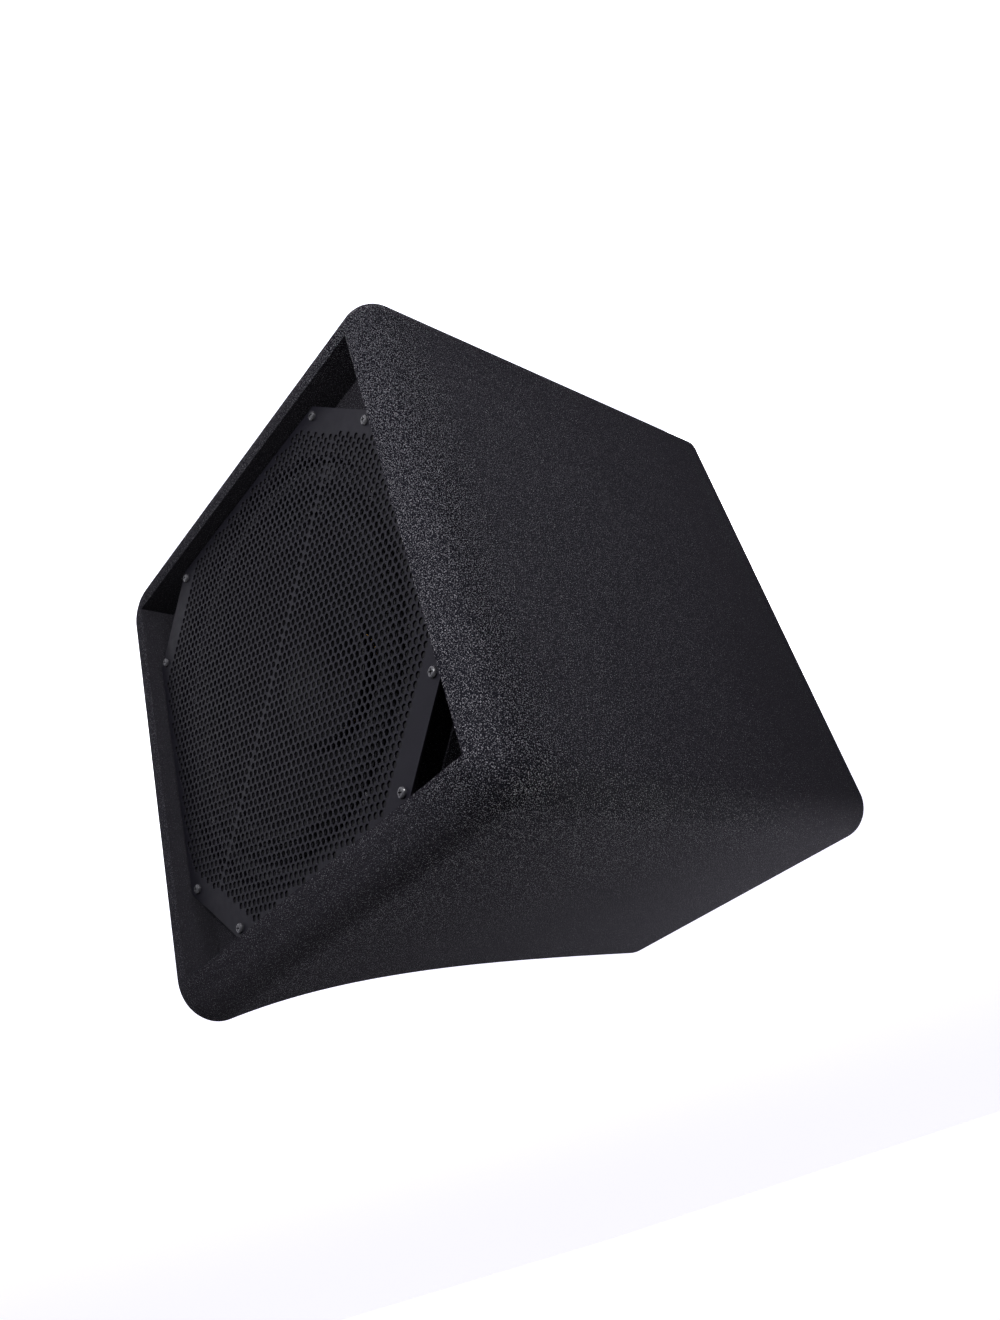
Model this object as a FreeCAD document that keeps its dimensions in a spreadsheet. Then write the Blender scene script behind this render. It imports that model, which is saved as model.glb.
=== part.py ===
import FreeCAD, Part
import math
import os
import Sketcher
from FreeCAD import Placement, Rotation, Vector

# Compact PA loudspeaker cabinet, in millimetres.
# Row frame: +Z up, the mouth faces -Y and the concave side wall is on +X.
# The cabinet stands on its feet at Z = 0.

DIMENSIONS = [
    ("depth_total", 373.5, "front edge to back edge"),
    ("half_width", 197.7, "centre to outer face of either side at the front"),
    ("half_height", 203.2, "centre to outer face of an end panel"),
    ("foot_height", 12.5, "height of a rubber foot"),
    ("flat_side_t", 25.2, "flat side panel thickness"),
    ("panel_t", 18.0, "end, back and baffle panel thickness"),
    ("edge_round", 24.3, "round-over of the long edges of the flat side"),
    ("front_round", 23.6, "round-over of the flat side's front edge"),
    ("end_round", 28.4, "round-over of the end panels' front edges"),
    ("lip_round", 16.0, "radius of the concave wall's front lip"),
    ("lip_corner", 30.0, "corner radius of the lip seen from the front"),
    ("mouth_half_x", 172.5, "half width of the mouth"),
    ("mouth_half_z", 170.1, "half height of the mouth"),
    ("baffle_depth", 30.7, "front edge to baffle face"),
    ("baffle_reach", 144.5, "centre to the baffle edge at the concave wall"),
    ("cutout_r", 141.0, "driver cut-out radius in the baffle"),
    ("port_sum", 282.0, "sum of x and z on a port slot's centre line"),
    ("port_width", 16.0, "port slot width"),
    ("port_long", 84.0, "port slot length at the flat side"),
    ("port_short", 44.0, "port slot length at the concave side"),
    ("port_depth", 80.0, "port duct length behind the baffle"),
    ("port_board_t", 9.0, "port board thickness"),
    ("frame_half_x", 170.0, "half width of the grille frame"),
    ("frame_half_z", 167.6, "half height of the grille frame"),
    ("frame_sum", 268.0, "sum of x and z on the frame's chamfers"),
    ("frame_depth", 15.2, "front edge to the frame's face"),
    ("frame_bore", 157.0, "opening radius of the grille frame"),
    ("grille_half_x", 168.5, "half width of the grille"),
    ("grille_half_z", 166.0, "half height of the grille"),
    ("grille_sum", 272.9, "sum of x and z on the grille's chamfers"),
    ("grille_depth", 10.2, "front edge to the grille's outer edge"),
    ("grille_sheet", 1.5, "grille sheet thickness"),
    ("crease_drop", 1.8, "how far the crease lies behind the grille's corners"),
    ("crease_angle", 44.2, "direction of the crease from +X towards +Z"),
    ("crease_shift", 4.2, "distance of the crease from the centre"),
    ("screw_far", 157.8, "larger coordinate of a grille screw"),
    ("screw_near", 104.6, "smaller coordinate of a grille screw"),
    ("screw_head_r", 3.8, "grille screw head radius"),
    ("screw_head_h", 2.6, "grille screw head height"),
    ("bolt_circle_r", 147.5, "driver bolt circle radius"),
    ("coil_r", 38.0, "outer radius of the coil former"),
    ("dish_x", -50.0, "centre of the connector dish and of the handle"),
    ("dish_z", -85.0, "connector dish centre from the cabinet centre"),
    ("handle_z", 75.0, "handle centre from the cabinet centre"),
    ("foot_half_x", 60.0, "foot to the middle of the four feet, across"),
    ("foot_half_y", 130.0, "foot to the middle of the four feet, front to back"),
]

# Reach and corner radius of the concave wall fall off exponentially behind the lip.
DIMENSIONS += [
    ("flare_start", 28.4, "depth at which the lip's round passes into the flare"),
    ("flare_back_reach", 93.5, "centre to the concave wall at the back"),
    ("flare_long", 88.0, "slow part of the flare"),
    ("flare_long_fall", 83.0, "depth over which the slow part falls off"),
    ("flare_quick", 13.8, "quick part of the flare"),
    ("flare_quick_fall", 23.5, "depth over which the quick part falls off"),
    ("flare_corner", 37.5, "corner radius at the back of the concave wall"),
    ("flare_corner_more", -6.0, "change of corner radius at the lip"),
    ("flare_corner_fall", 20.0, "depth over which that change falls off"),
    ("flare_wall_t", 12.0, "concave wall thickness"),
]
FLARE_STEPS = 14

doc = FreeCAD.newDocument("pa_speaker_cabinet")
sheet = doc.addObject("Spreadsheet::Sheet", "Dims")


class Dim:
    """A length with its present value and the spreadsheet expression it comes from."""

    def __init__(self, value, text=None):
        self.value = float(value)
        self.text = text if text is not None else "%.6f" % float(value)

    def _join(self, other, sign, value):
        return Dim(value, "(%s %s %s)" % (self.text, sign, other.text))

    def __add__(self, other):
        other = dim(other)
        return self._join(other, "+", self.value + other.value)

    def __radd__(self, other):
        return dim(other) + self

    def __sub__(self, other):
        other = dim(other)
        return self._join(other, "-", self.value - other.value)

    def __rsub__(self, other):
        return dim(other) - self

    def __mul__(self, other):
        other = dim(other)
        return self._join(other, "*", self.value * other.value)

    def __rmul__(self, other):
        return dim(other) * self

    def __truediv__(self, other):
        other = dim(other)
        return self._join(other, "/", self.value / other.value)

    def __neg__(self):
        return Dim(-self.value, "(0 - %s)" % self.text)

    def root(self):
        return Dim(math.sqrt(self.value), "sqrt(%s)" % self.text)

    def fade(self):
        return Dim(math.exp(-self.value), "exp(0 - %s)" % self.text)


def dim(value):
    return value if isinstance(value, Dim) else Dim(value)


S = {}
for row, (alias, value, note) in enumerate(DIMENSIONS, start=1):
    cell = "B%d" % row
    sheet.set("A%d" % row, alias)
    sheet.set(cell, str(value))
    sheet.set("C%d" % row, note)
    sheet.setAlias(cell, alias)
    S[alias] = Dim(value, "Dims." + alias)
doc.recompute()

NODES = []
FRONT = -(S["depth_total"] / 2)
BACK = S["depth_total"] / 2
MID_Z = S["foot_height"] + S["half_height"]


def at_depth(depth):
    """Y of a plane the given distance behind the front edge."""
    return FRONT + dim(depth)


def bind(obj, prop, value):
    value = dim(value)
    obj.setExpression(prop, value.text)


def place(obj, x, y, z, axis=None, angle=0.0):
    """Bind an object's position, with an optional fixed turn about an axis."""
    x, y, z = dim(x), dim(y), dim(z)
    turn = Rotation(axis, angle) if axis is not None else Rotation()
    obj.Placement = Placement(Vector(x.value, y.value, z.value), turn)
    bind(obj, "Placement.Base.x", x)
    bind(obj, "Placement.Base.y", y)
    bind(obj, "Placement.Base.z", z)
    return obj


def block(name, x0, x1, y0, y1, z0, z1):
    x0, x1, y0, y1, z0, z1 = [dim(v) for v in (x0, x1, y0, y1, z0, z1)]
    box = doc.addObject("Part::Box", name)
    bind(box, "Length", x1 - x0)
    bind(box, "Width", y1 - y0)
    bind(box, "Height", z1 - z0)
    return place(box, x0, y0, z0)


def turned_block(name, length, width, height, x, y, z, axis, angle):
    """A box centred on a point, turned about an axis through that point."""
    length, width, height = dim(length), dim(width), dim(height)
    box = doc.addObject("Part::Box", name + "_raw")
    bind(box, "Length", length)
    bind(box, "Width", width)
    bind(box, "Height", height)
    place(box, -(length / 2), -(width / 2), -(height / 2))
    holder = doc.addObject("Part::Compound", name)
    holder.Links = [box]
    return place(holder, x, y, z, axis, angle)


AXES = {
    "y": (Vector(1, 0, 0), -90.0),
    "x": (Vector(0, 1, 0), 90.0),
    "z": (Vector(0, 0, 1), 0.0),
}


def rod(name, radius, length, x, y, z, along="y"):
    cyl = doc.addObject("Part::Cylinder", name)
    bind(cyl, "Radius", radius)
    bind(cyl, "Height", length)
    axis, angle = AXES[along]
    return place(cyl, x, y, z, axis, angle)


def taper(name, r_start, r_end, length, x, y, z, along="y"):
    cone = doc.addObject("Part::Cone", name)
    bind(cone, "Radius1", r_start)
    bind(cone, "Radius2", r_end)
    bind(cone, "Height", length)
    axis, angle = AXES[along]
    return place(cone, x, y, z, axis, angle)


def fuse(name, parts):
    joined = doc.addObject("Part::MultiFuse", name)
    joined.Shapes = parts
    joined.Refine = True
    return joined


def common(name, first, second):
    shared = doc.addObject("Part::MultiCommon", name)
    shared.Shapes = [first, second]
    return shared


def cut(name, base, tools):
    tool = tools[0]
    if len(tools) > 1:
        tool = doc.addObject("Part::Compound", name + "_tools")
        tool.Links = tools
    result = doc.addObject("Part::Cut", name)
    result.Base = base
    result.Tool = tool
    return result


def group(name, parts):
    """Several equal loose solids as one sub-part."""
    bundle = doc.addObject("Part::Compound", name)
    bundle.Links = parts
    return bundle


def outline(name, points):
    """A closed sketch of straight lines through (u, v) points, each bound to the spreadsheet."""
    sketch = doc.addObject("Sketcher::SketchObject", name)
    points = [(dim(u), dim(v)) for u, v in points]
    count = len(points)
    for i in range(count):
        a = points[i]
        b = points[(i + 1) % count]
        start = Vector(a[0].value, a[1].value, 0)
        end = Vector(b[0].value, b[1].value, 0)
        sketch.addGeometry(Part.LineSegment(start, end), False)
    for i in range(count):
        sketch.addConstraint(Sketcher.Constraint("Coincident", i, 2, (i + 1) % count, 1))
    for i, (u, v) in enumerate(points):
        for kind, value in (("DistanceX", u), ("DistanceY", v)):
            index = sketch.addConstraint(Sketcher.Constraint(kind, -1, 1, i, 1, value.value))
            sketch.setExpression("Constraints[%d]" % index, value.text)
    return sketch


def prism_y(name, points, y0, y1):
    """A straight prism along Y; points are (x, z) from the cabinet's centre line."""
    y0, y1 = dim(y0), dim(y1)
    sketch = outline(name + "_outline", points)
    place(sketch, 0, 0, 0, Vector(1, 0, 0), 90.0)
    solid = doc.addObject("Part::Extrusion", name)
    solid.Base = sketch
    solid.DirMode = "Custom"
    solid.Dir = Vector(0, 1, 0)
    solid.Solid = True
    bind(solid, "LengthFwd", y1 - y0)
    return place(solid, 0, y0, MID_Z)


def prism_z(name, points, z0, z1):
    """A straight prism along Z; points are (x, y) in the row frame."""
    z0, z1 = dim(z0), dim(z1)
    sketch = outline(name + "_outline", points)
    solid = doc.addObject("Part::Extrusion", name)
    solid.Base = sketch
    solid.DirMode = "Custom"
    solid.Dir = Vector(0, 0, 1)
    solid.Solid = True
    bind(solid, "LengthFwd", z1 - z0)
    return place(solid, 0, 0, z0)


def turned(name, points, x=0.0, z=MID_Z, base=0.0):
    """A solid of revolution about a line along Y; points are (radius, y from the base)."""
    sketch = outline(name + "_profile", points)
    solid = doc.addObject("Part::Revolution", name)
    solid.Source = sketch
    solid.Axis = Vector(0, 1, 0)
    solid.Base = Vector(0, 0, 0)
    solid.Angle = 360.0
    solid.Solid = True
    return place(solid, x, base, z)


def node(obj, name):
    """Register a finished sub-part under its node name."""
    obj.Label = name
    NODES.append((name, obj))
    return obj


# ---------------------------------------------------------------- outer form of the cabinet

def inset(radius, depth):
    """How far a round-over of the given radius pulls the side in at a depth."""
    if depth.value >= radius.value:
        return Dim(0.0)
    rest = radius - depth
    return radius - (radius * radius - rest * rest).root()


def section(name, depth, reach, corner):
    """A rounded rectangle across the cabinet: left side flat, right side at the given reach."""
    depth, reach, corner = dim(depth), dim(reach), dim(corner)
    side_in = inset(S["front_round"], depth)
    end_in = inset(S["end_round"], depth)
    left = S["half_width"] - side_in
    half = S["half_height"] - end_in
    small = S["edge_round"] - side_in
    corners = [
        (-left, -half, small, 1, 1),
        (reach, -half, corner, -1, 1),
        (reach, half, corner, -1, -1),
        (-left, half, small, 1, -1),
    ]
    sketch = doc.addObject("Sketcher::SketchObject", name)
    arc_points = []
    for x, z, r, sx, sz in corners:
        centre = (x.value + sx * r.value, z.value + sz * r.value)
        horizontal = (x + sx * r, z)
        vertical = (x, z + sz * r)
        bulge_x = centre[0] - sx * r.value * math.sqrt(0.5)
        bulge_z = centre[1] - sz * r.value * math.sqrt(0.5)
        middle = Vector(bulge_x, bulge_z, 0)
        arc_points.append((horizontal, vertical, middle, r))
    order = [(1, 0), (0, 1), (1, 0), (0, 1)]
    ends = []
    for (horizontal, vertical, middle, r), (first, last) in zip(arc_points, order):
        pair = (horizontal, vertical)
        start, end = pair[first], pair[last]
        arc_start = Vector(start[0].value, start[1].value, 0)
        arc_end = Vector(end[0].value, end[1].value, 0)
        arc = Part.Arc(arc_start, middle, arc_end)
        index = sketch.addGeometry(arc, False)
        ends.append((index, start, end, r))
    for i in range(4):
        index, start, end, r = ends[i]
        after = ends[(i + 1) % 4]
        line_start = Vector(end[0].value, end[1].value, 0)
        line_end = Vector(after[1][0].value, after[1][1].value, 0)
        line = Part.LineSegment(line_start, line_end)
        line_index = sketch.addGeometry(line, False)
        sketch.addConstraint(Sketcher.Constraint("Coincident", line_index, 1, index, 2))
        sketch.addConstraint(Sketcher.Constraint("Coincident", line_index, 2, after[0], 1))
        for kind, value in (("DistanceX", end[0]), ("DistanceY", end[1])):
            at = sketch.addConstraint(Sketcher.Constraint(kind, -1, 1, line_index, 1, value.value))
            sketch.setExpression("Constraints[%d]" % at, value.text)
        for kind, value in (("DistanceX", after[1][0]), ("DistanceY", after[1][1])):
            at = sketch.addConstraint(Sketcher.Constraint(kind, -1, 1, line_index, 2, value.value))
            sketch.setExpression("Constraints[%d]" % at, value.text)
        at = sketch.addConstraint(Sketcher.Constraint("Radius", index, r.value))
        sketch.setExpression("Constraints[%d]" % at, r.text)
    return place(sketch, 0, at_depth(depth), MID_Z, Vector(1, 0, 0), 90.0)


def loft(name, sections):
    solid = doc.addObject("Part::Loft", name)
    solid.Sections = sections
    solid.Solid = True
    solid.Ruled = False
    return solid


def flare_reach(depth):
    """Distance of the concave wall's outer face from the centre at a depth behind the flare's start."""
    run = depth - S["flare_start"]
    slow = S["flare_long"] * (run / S["flare_long_fall"]).fade()
    quick = S["flare_quick"] * (run / S["flare_quick_fall"]).fade()
    return S["flare_back_reach"] + slow + quick


def flare_corner(depth):
    run = depth - S["flare_start"]
    return S["flare_corner"] + S["flare_corner_more"] * (run / S["flare_corner_fall"]).fade()


def flare_setback(depth):
    """Wall thickness measured along X, from the slope of the wall at that depth."""
    step = 1.0
    slope = (flare_reach(depth).value - flare_reach(depth + step).value) / step
    return S["flare_wall_t"] * Dim(math.hypot(1.0, slope))


LIP_CENTRE = S["half_width"] - S["lip_round"]
ROUND_STEPS = 6
front_sections = []
for number in range(ROUND_STEPS):
    turn = math.radians(90.0 * number / ROUND_STEPS)
    depth = S["end_round"] * Dim(1.0 - math.cos(turn))
    offset = depth - S["lip_round"]
    bulge = (S["lip_round"] * S["lip_round"] - offset * offset).root() if number else Dim(0.0)
    corner = S["lip_corner"] - S["lip_round"] + bulge
    front_sections.append(section("front_section_%d" % number, depth, LIP_CENTRE + bulge, corner))
flare_depths = []
flare_sections = []
for number in range(FLARE_STEPS + 1):
    share = Dim(number / FLARE_STEPS)
    depth = S["flare_start"] + (S["depth_total"] - S["flare_start"]) * share
    flare_depths.append(depth)
    flare_sections.append(
        section("flare_section_%d" % number, depth, flare_reach(depth), flare_corner(depth)))
front_form = loft("front_form", front_sections + [flare_sections[0]])
flare_form = loft("flare_form", flare_sections)
envelope = fuse("envelope", [front_form, flare_form])

# The room inside the walls, behind the baffle face.
FLAT_IN = -(S["half_width"] - S["flat_side_t"])
BAFFLE_Y = at_depth(S["baffle_depth"])
BAFFLE_BACK = BAFFLE_Y + S["panel_t"]
cavity_points = [(FLAT_IN, BAFFLE_BACK), (S["baffle_reach"], BAFFLE_BACK)]
for depth in flare_depths[1:-1]:
    if depth.value > S["baffle_depth"].value + S["panel_t"].value + 2.0:
        cavity_points.append((flare_reach(depth) - flare_setback(depth), at_depth(depth)))
cavity_points.append((S["flare_back_reach"] + 1.0 - S["flare_wall_t"], BACK + 1))
cavity_points.append((FLAT_IN, BACK + 1))
INNER_Z = S["half_height"] - S["panel_t"]


def cavity(name):
    return prism_z(name, cavity_points, MID_Z - INNER_Z, MID_Z + INNER_Z)


FAR = S["half_width"] + 10

# ---------------------------------------------------------------- walls

FEET = []
for sx, sy in ((-1, -1), (1, -1), (1, 1), (-1, 1)):
    FEET.append((S["dish_x"] + sx * S["foot_half_x"], sy * S["foot_half_y"]))

flat_zone = block("flat_zone", -FAR, FLAT_IN, FRONT - 5, BACK + 5, 0, MID_Z * 2)
node(common("side_panel_flat", envelope, flat_zone), "side_panel_flat")

for name, low, high in (
    ("end_panel_top", MID_Z + INNER_Z, MID_Z * 2),
    ("end_panel_bottom", Dim(0.0), MID_Z - INNER_Z),
):
    zone = block(name + "_zone", FLAT_IN, FAR, FRONT - 5, BACK + 5, low, high)
    solid = common(name + "_solid", envelope, zone)
    if name == "end_panel_bottom":
        pilots = []
        for number, (x, y) in enumerate(FEET):
            pilots.append(rod("foot_pilot_%d" % number, 2.0, 14.0, x, y, S["foot_height"] - 1, "z"))
        solid = cut(name, solid, pilots)
    node(solid, name)

wall_zone = block("wall_zone", 0, FAR, BAFFLE_BACK, BACK + 5, MID_Z - INNER_Z, MID_Z + INNER_Z)
wall_solid = common("wall_solid", envelope, wall_zone)
node(cut("side_panel_curved", wall_solid, [cavity("wall_cavity")]), "side_panel_curved")

lip_zone = block("lip_zone", S["baffle_reach"], FAR, FRONT - 5, BAFFLE_BACK,
                 MID_Z - INNER_Z, MID_Z + INNER_Z)
lip_solid = common("lip_solid", envelope, lip_zone)
lip_mouth = block(
    "lip_mouth", 0, S["mouth_half_x"], FRONT - 6, BAFFLE_Y, MID_Z - INNER_Z - 1, MID_Z + INNER_Z + 1)
node(cut("lip_rail", lip_solid, [lip_mouth]), "lip_rail")

for name, low, high in (
    ("mouth_rail_top", MID_Z + S["mouth_half_z"], MID_Z + INNER_Z),
    ("mouth_rail_bottom", MID_Z - INNER_Z, MID_Z - S["mouth_half_z"]),
):
    zone = block(name + "_zone", FLAT_IN, S["mouth_half_x"], FRONT - 5, BAFFLE_Y, low, high)
    node(common(name, envelope, zone), name)

# ---------------------------------------------------------------- baffle with its port slots

baffle_board = block(
    "baffle_board", FLAT_IN, S["baffle_reach"], BAFFLE_Y, BAFFLE_BACK, MID_Z - INNER_Z, MID_Z + INNER_Z)
baffle_tools = [rod("baffle_cutout", S["cutout_r"], S["panel_t"] + 4, 0, BAFFLE_Y - 2, MID_Z)]
BOLT_ANGLES = [22.5 + 45.0 * i for i in range(8)]


def on_circle(radius, angle):
    """X and Z of a point on a circle about the driver axis."""
    c = math.cos(math.radians(angle))
    s = math.sin(math.radians(angle))
    return dim(radius) * Dim(c), MID_Z + dim(radius) * Dim(s)


for number, angle in enumerate(BOLT_ANGLES):
    x, z = on_circle(S["bolt_circle_r"], angle)
    if x.value + 3.4 < S["baffle_reach"].value:
        baffle_tools.append(rod("tnut_hole_%d" % number, 3.4, S["panel_t"] + 4, x, BAFFLE_Y - 2, z))

SLOT_SHIFT = Dim(0.5) * S["port_sum"]
SHORT_SHIFT = S["baffle_reach"] - 21.1
CORNERS = {
    "flat": (-SLOT_SHIFT, SLOT_SHIFT, S["port_long"]),
    "curved": (SHORT_SHIFT, -(S["port_sum"] - SHORT_SHIFT), S["port_short"]),
}
for corner, (x, z, length) in CORNERS.items():
    angle = 45.0 if x.value * z.value > 0 else -45.0
    baffle_tools.append(
        turned_block("slot_" + corner, length, S["panel_t"] + 4, S["port_width"], x,
                     BAFFLE_Y + S["panel_t"] / 2, MID_Z + z, Vector(0, 1, 0), angle))
node(cut("baffle", baffle_board, baffle_tools), "baffle")

ROOT_HALF = Dim(math.sqrt(0.5), "sqrt(0.5)")
for corner, (x, z, length) in CORNERS.items():
    sx = 1 if x.value > 0 else -1
    sz = 1 if z.value > 0 else -1
    angle = 45.0 if sx * sz > 0 else -45.0
    board_out = (S["port_width"] + S["port_board_t"]) * ROOT_HALF / 2
    board = turned_block(
        "port_board_raw_" + corner, 260, S["port_depth"], S["port_board_t"],
        sx * (SLOT_SHIFT - board_out), BAFFLE_BACK + S["port_depth"] / 2,
        MID_Z + sz * (SLOT_SHIFT - board_out), Vector(0, 1, 0), angle)
    node(common("port_board_" + corner, cavity("port_room_" + corner), board), "port_board_" + corner)
    edge = S["port_sum"] + S["port_width"] / (2 * ROOT_HALF)
    wide = S["half_width"] + 20
    triangle = [(sx * wide, sz * (edge - wide)), (sx * wide, sz * wide), (sx * (edge - wide), sz * wide)]
    wedge = prism_y("corner_wedge_" + corner, triangle, BAFFLE_BACK, BAFFLE_BACK + S["port_depth"])
    node(common("corner_block_" + corner, cavity("block_room_" + corner), wedge), "corner_block_" + corner)

# ---------------------------------------------------------------- back panel, cleats

PANEL_IN = at_depth(S["depth_total"] - S["panel_t"])
DISH_Z = MID_Z + S["dish_z"]
HANDLE_Z = MID_Z + S["handle_z"]
DISH_HALF = (65.0, 43.0)
HANDLE_HALF = (60.0, 42.0)
FLANGE = 13.0
FLANGE_T = 2.0
TRAY_BACK = BACK - 1.6
BACK_SCREWS = []
for x in (-160.0, -50.0, 64.0):
    for sz in (-1, 1):
        BACK_SCREWS.append((Dim(x), MID_Z + sz * 175.0))
for z in (-60.0, 60.0):
    BACK_SCREWS.append((Dim(-163.0), MID_Z + z))
    BACK_SCREWS.append((Dim(69.0), MID_Z + z))

PANEL_GAP = 0.4
back_zone = block("back_zone", FLAT_IN + PANEL_GAP, FAR, PANEL_IN, BACK,
                  MID_Z - INNER_Z + PANEL_GAP, MID_Z + INNER_Z - PANEL_GAP)
back_board = common("back_board", cavity("back_room"), back_zone)
back_tools = []
for tag, half, z in (("dish", DISH_HALF, DISH_Z), ("handle", HANDLE_HALF, HANDLE_Z)):
    w, h = half
    x = S["dish_x"]
    back_tools.append(block(tag + "_hole", x - w - 3.3, x + w + 3.3, PANEL_IN - 1, BACK + 1,
                            z - h - 3.3, z + h + 3.3))
    w, h = w + FLANGE + 0.3, h + FLANGE + 0.3
    back_tools.append(block(tag + "_rebate", x - w, x + w, TRAY_BACK - FLANGE_T, BACK + 1, z - h, z + h))
FLANGE_SCREWS = []
for half, z in ((DISH_HALF, DISH_Z), (HANDLE_HALF, HANDLE_Z)):
    w = half[0] + 7.0
    h = half[1] + 7.0
    for sx in (-1, 0, 1):
        for sz in (-1, 1):
            FLANGE_SCREWS.append((S["dish_x"] + sx * w, z + sz * h))
for number, (x, z) in enumerate(FLANGE_SCREWS):
    back_tools.append(rod("flange_pilot_%d" % number, 1.6, S["panel_t"] + 2, x, PANEL_IN - 1, z))
for number, (x, z) in enumerate(BACK_SCREWS):
    back_tools.append(rod("back_hole_%d" % number, 2.3, S["panel_t"] + 2, x, PANEL_IN - 1, z))
    back_tools.append(taper("back_sink_%d" % number, 2.3, 4.6, 2.3, x, BACK - 2.3, z))
node(cut("back_panel", back_board, back_tools), "back_panel")

CLEAT = 20.0
CLEAT_Y = PANEL_IN - CLEAT
cleats = {
    "cleat_flat": (FLAT_IN, FLAT_IN + CLEAT, MID_Z - INNER_Z + CLEAT, MID_Z + INNER_Z - CLEAT),
    "cleat_top": (FLAT_IN, Dim(90.0), MID_Z + INNER_Z - CLEAT, MID_Z + INNER_Z),
    "cleat_bottom": (FLAT_IN, Dim(90.0), MID_Z - INNER_Z, MID_Z - INNER_Z + CLEAT),
    "cleat_curved": (Dim(58.0), Dim(90.0), MID_Z - INNER_Z + CLEAT, MID_Z + INNER_Z - CLEAT),
}
for name, (x0, x1, z0, z1) in cleats.items():
    zone = block(name + "_zone", x0, x1, CLEAT_Y, PANEL_IN, z0, z1)
    bar = common(name + "_bar", cavity(name + "_room"), zone)
    tools = []
    for number, (x, z) in enumerate(BACK_SCREWS):
        inside_x = x0.value < x.value < x1.value
        inside_z = z0.value < z.value < z1.value
        if inside_x and inside_z:
            tools.append(rod("%s_pilot_%d" % (name, number), 1.7, 14.0, x, PANEL_IN - 13, z))
    node(cut(name, bar, tools), name)

# ---------------------------------------------------------------- grille, its frame and fixings


def octagon(half_x, half_z, total):
    """Corner points of an octagon with 45 degree chamfers on |x| + |z| = total."""
    near_x = total - half_z
    near_z = total - half_x
    return [
        (half_x, -near_z), (half_x, near_z), (near_x, half_z), (-near_x, half_z),
        (-half_x, near_z), (-half_x, -near_z), (-near_x, -half_z), (near_x, -half_z),
    ]


GRILLE_SCREWS = []
for sx in (-1, 1):
    for sz in (-1, 1):
        GRILLE_SCREWS.append((sx * S["screw_near"], MID_Z + sz * S["screw_far"]))
        GRILLE_SCREWS.append((sx * S["screw_far"], MID_Z + sz * S["screw_near"]))

FRAME_Y = at_depth(S["frame_depth"])
frame_outline = octagon(S["frame_half_x"], S["frame_half_z"], S["frame_sum"])
frame_plate = prism_y("frame_plate", frame_outline, FRAME_Y, BAFFLE_Y)
frame_edges = doc.addObject("Part::Chamfer", "frame_edges")
frame_edges.Base = frame_plate
doc.recompute()
FRAME_EASE = 1.2
INSERT_R = 2.6
front_ids = []
for number, edge in enumerate(frame_plate.Shape.Edges, start=1):
    box = edge.BoundBox
    if abs(box.YMin - FRAME_Y.value) < 0.01 and abs(box.YMax - FRAME_Y.value) < 0.01:
        front_ids.append((number, FRAME_EASE, FRAME_EASE))
frame_edges.Edges = front_ids
frame_tools = [rod("frame_bore", S["frame_bore"], 30.0, 0, FRAME_Y - 5, MID_Z)]
for number, (x, z) in enumerate(GRILLE_SCREWS):
    frame_tools.append(rod("insert_hole_%d" % number, INSERT_R, 12.0, x, FRAME_Y - 1, z))
node(cut("grille_frame", frame_edges, frame_tools), "grille_frame")


DROP_SPAN = 195.0


def crease_slab(name, side, front, thick):
    """Half of the folded sheet: a slab that touches the crease line and rises towards one corner."""
    span = 300.0
    tilt = math.degrees(math.atan2(S["crease_drop"].value, DROP_SPAN))
    overlap = 2.0
    slab = doc.addObject("Part::Box", name + "_raw")
    slab.Length = 2 * span
    bind(slab, "Width", thick)
    slab.Height = span + overlap
    place(slab, -span, 0, -overlap)
    lean = doc.addObject("Part::Compound", name + "_lean")
    lean.Links = [slab]
    if side > 0:
        lean.Placement = Placement(Vector(0, 0, 0), Rotation(Vector(1, 0, 0), tilt))
    else:
        lean.Placement = Placement(Vector(0, dim(thick).value, 0), Rotation(Vector(1, 0, 0), 180.0 - tilt))
    turn = doc.addObject("Part::Compound", name)
    turn.Links = [lean]
    angle = S["crease_angle"].value
    shift_x = S["crease_shift"] * Dim(math.sin(math.radians(angle)))
    shift_z = S["crease_shift"] * Dim(-math.cos(math.radians(angle)))
    return place(turn, shift_x, front, MID_Z + shift_z, Vector(0, 1, 0), -angle)


CREASE_Y = at_depth(S["grille_depth"] + S["crease_drop"])
sheet_zone = prism_y(
    "sheet_zone", octagon(S["grille_half_x"], S["grille_half_z"], S["grille_sum"]),
    CREASE_Y - 8, FRAME_Y)
sheet_fold = fuse("sheet_fold", [
    crease_slab("fold_upper", 1, CREASE_Y, S["grille_sheet"]),
    crease_slab("fold_lower", -1, CREASE_Y, S["grille_sheet"]),
])
grille_sheet = common("grille_blank", sheet_zone, sheet_fold)
sheet_holes = []
for number, (x, z) in enumerate(GRILLE_SCREWS):
    sheet_holes.append(rod("sheet_hole_%d" % number, 2.3, 20.0, x, FRAME_Y - 15, z))
node(cut("grille", grille_sheet, sheet_holes), "grille")

gasket_ring = prism_y(
    "gasket_ring", octagon(S["frame_half_x"] - 2, S["frame_half_z"] - 2, S["frame_sum"] - 0.6),
    CREASE_Y - 6, FRAME_Y)
gasket_tools = [
    rod("gasket_bore", S["frame_bore"] + 2, 30.0, 0, FRAME_Y - 20, MID_Z),
    crease_slab("gasket_upper", 1, CREASE_Y + S["grille_sheet"] - 14, 14.0),
    crease_slab("gasket_lower", -1, CREASE_Y + S["grille_sheet"] - 14, 14.0),
]
for number, (x, z) in enumerate(GRILLE_SCREWS):
    gasket_tools.append(rod("gasket_hole_%d" % number, 2.6, 30.0, x, FRAME_Y - 20, z))
node(cut("grille_gasket", gasket_ring, gasket_tools), "grille_gasket")


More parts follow.
